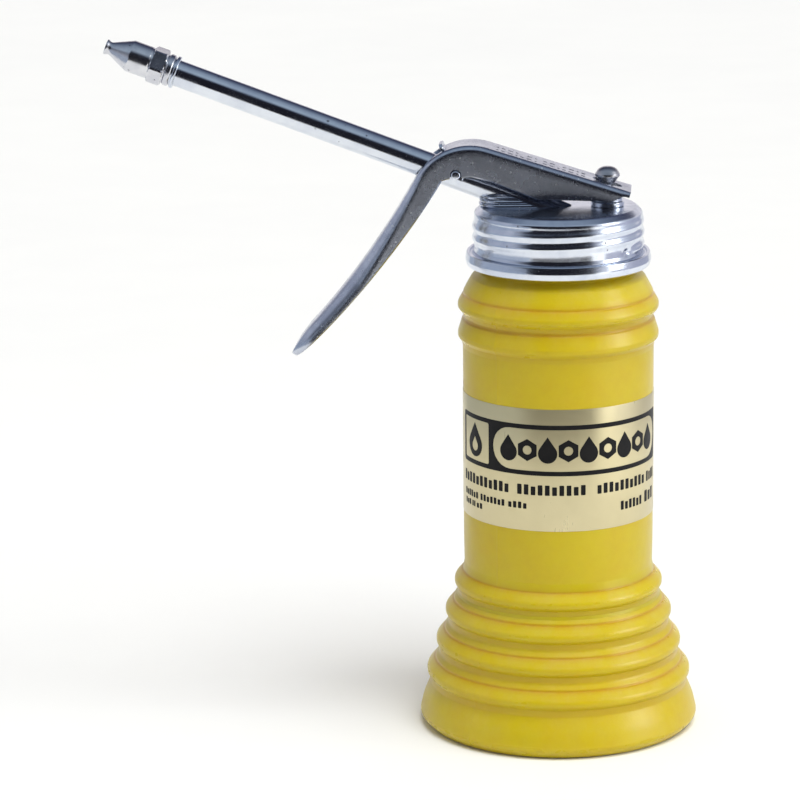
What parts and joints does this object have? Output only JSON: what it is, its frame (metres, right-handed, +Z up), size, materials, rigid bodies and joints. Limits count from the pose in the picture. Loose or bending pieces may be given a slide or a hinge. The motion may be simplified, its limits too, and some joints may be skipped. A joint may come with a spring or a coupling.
{
  "type": "pump oiler can",
  "caption": "Squeeze-trigger pump oiler: ribbed plastic bottle, screw cap, straight spout with nozzle, lever-worked lift pump with pickup tube inside.",
  "frame": {"origin": "middle of the bottle's flat base", "axes": "+Z up the bottle; the spout points to -X and the plane of the lever is y = 0"},
  "size_m": [0.1421, 0.0678, 0.1674],
  "materials": {
    "bottle_plastic": "waxy moulded polyethylene, golden yellow",
    "label_foil": "satin gold foil printed in black",
    "cap_zinc": "bright zinc plate",
    "spout_zinc": "bright zinc plate",
    "nozzle_zinc": "bright zinc plate, turned",
    "lever_zinc": "bluish zinc plate on stamped sheet",
    "rod_steel": "bright turned steel",
    "pump_brass": "turned brass, satin",
    "gasket_rubber": "black rubber",
    "cup_leather": "oiled leather",
    "spring_steel": "drawn spring steel",
    "pickup_plastic": "natural plastic tube"
  },
  "bodies": {
    "bottle": {"bottle": "bottle_plastic", "label_band": "label_foil"},
    "cap_gasket": {"cap_gasket": "gasket_rubber"},
    "head": {"cap_shell": "cap_zinc", "spout_saddle": "cap_zinc", "spout_tube": "spout_zinc", "spout_ferrule": "spout_zinc", "nozzle_tip": "nozzle_zinc", "pivot_bracket": "lever_zinc", "pump_block": "pump_brass", "gland_nut": "cap_zinc", "gland_packing": "gasket_rubber", "pump_barrel": "pump_brass", "barrel_gasket": "gasket_rubber", "return_spring": "spring_steel", "foot_valve_body": "pump_brass", "ball_retainer": "pump_brass", "pickup_tube": "pickup_plastic", "inlet_strainer": "pump_brass"},
    "trigger": {"trigger_lever": "lever_zinc"},
    "plunger": {"plunger_rod": "rod_steel", "piston_cup": "cup_leather", "piston_washer": "pump_brass", "piston_nut": "pump_brass"},
    "inlet_ball": {"inlet_ball": "spring_steel"}
  },
  "joints": [
    {"name": "cap_rise", "type": "slide", "parent": "bottle", "child": "cap_gasket", "axis": [0, 0, 1], "range_m": [0, 0.00425]},
    {"name": "cap_unscrew", "type": "hinge", "parent": "cap_gasket", "child": "head", "pos_m": [0, 0, 0], "axis": [0, 0, 1], "range_deg": [0, 540]},
    {"name": "trigger_squeeze", "type": "hinge", "parent": "head", "child": "trigger", "pos_m": [-0.02405, 0, 0.13591], "axis": [0, -1, 0], "range_deg": [0, 12], "stiffness_Nm_per_rad": 2.5, "springref_deg": -6.88},
    {"name": "plunger_lift", "type": "slide", "parent": "head", "child": "plunger", "axis": [0, 0, 1], "range_m": [0, 0.00759], "deforming": ["return_spring"]},
    {"name": "inlet_ball_lift", "type": "slide", "parent": "head", "child": "inlet_ball", "axis": [0, 0, 1], "range_m": [0, 0.0012]}
  ],
  "couplings": [
    {"joint": "cap_rise", "follows": "cap_unscrew", "m_per_rad": 0.00044563},
    {"joint": "plunger_lift", "follows": "trigger_squeeze", "m_per_rad": 0.03575}
  ]
}
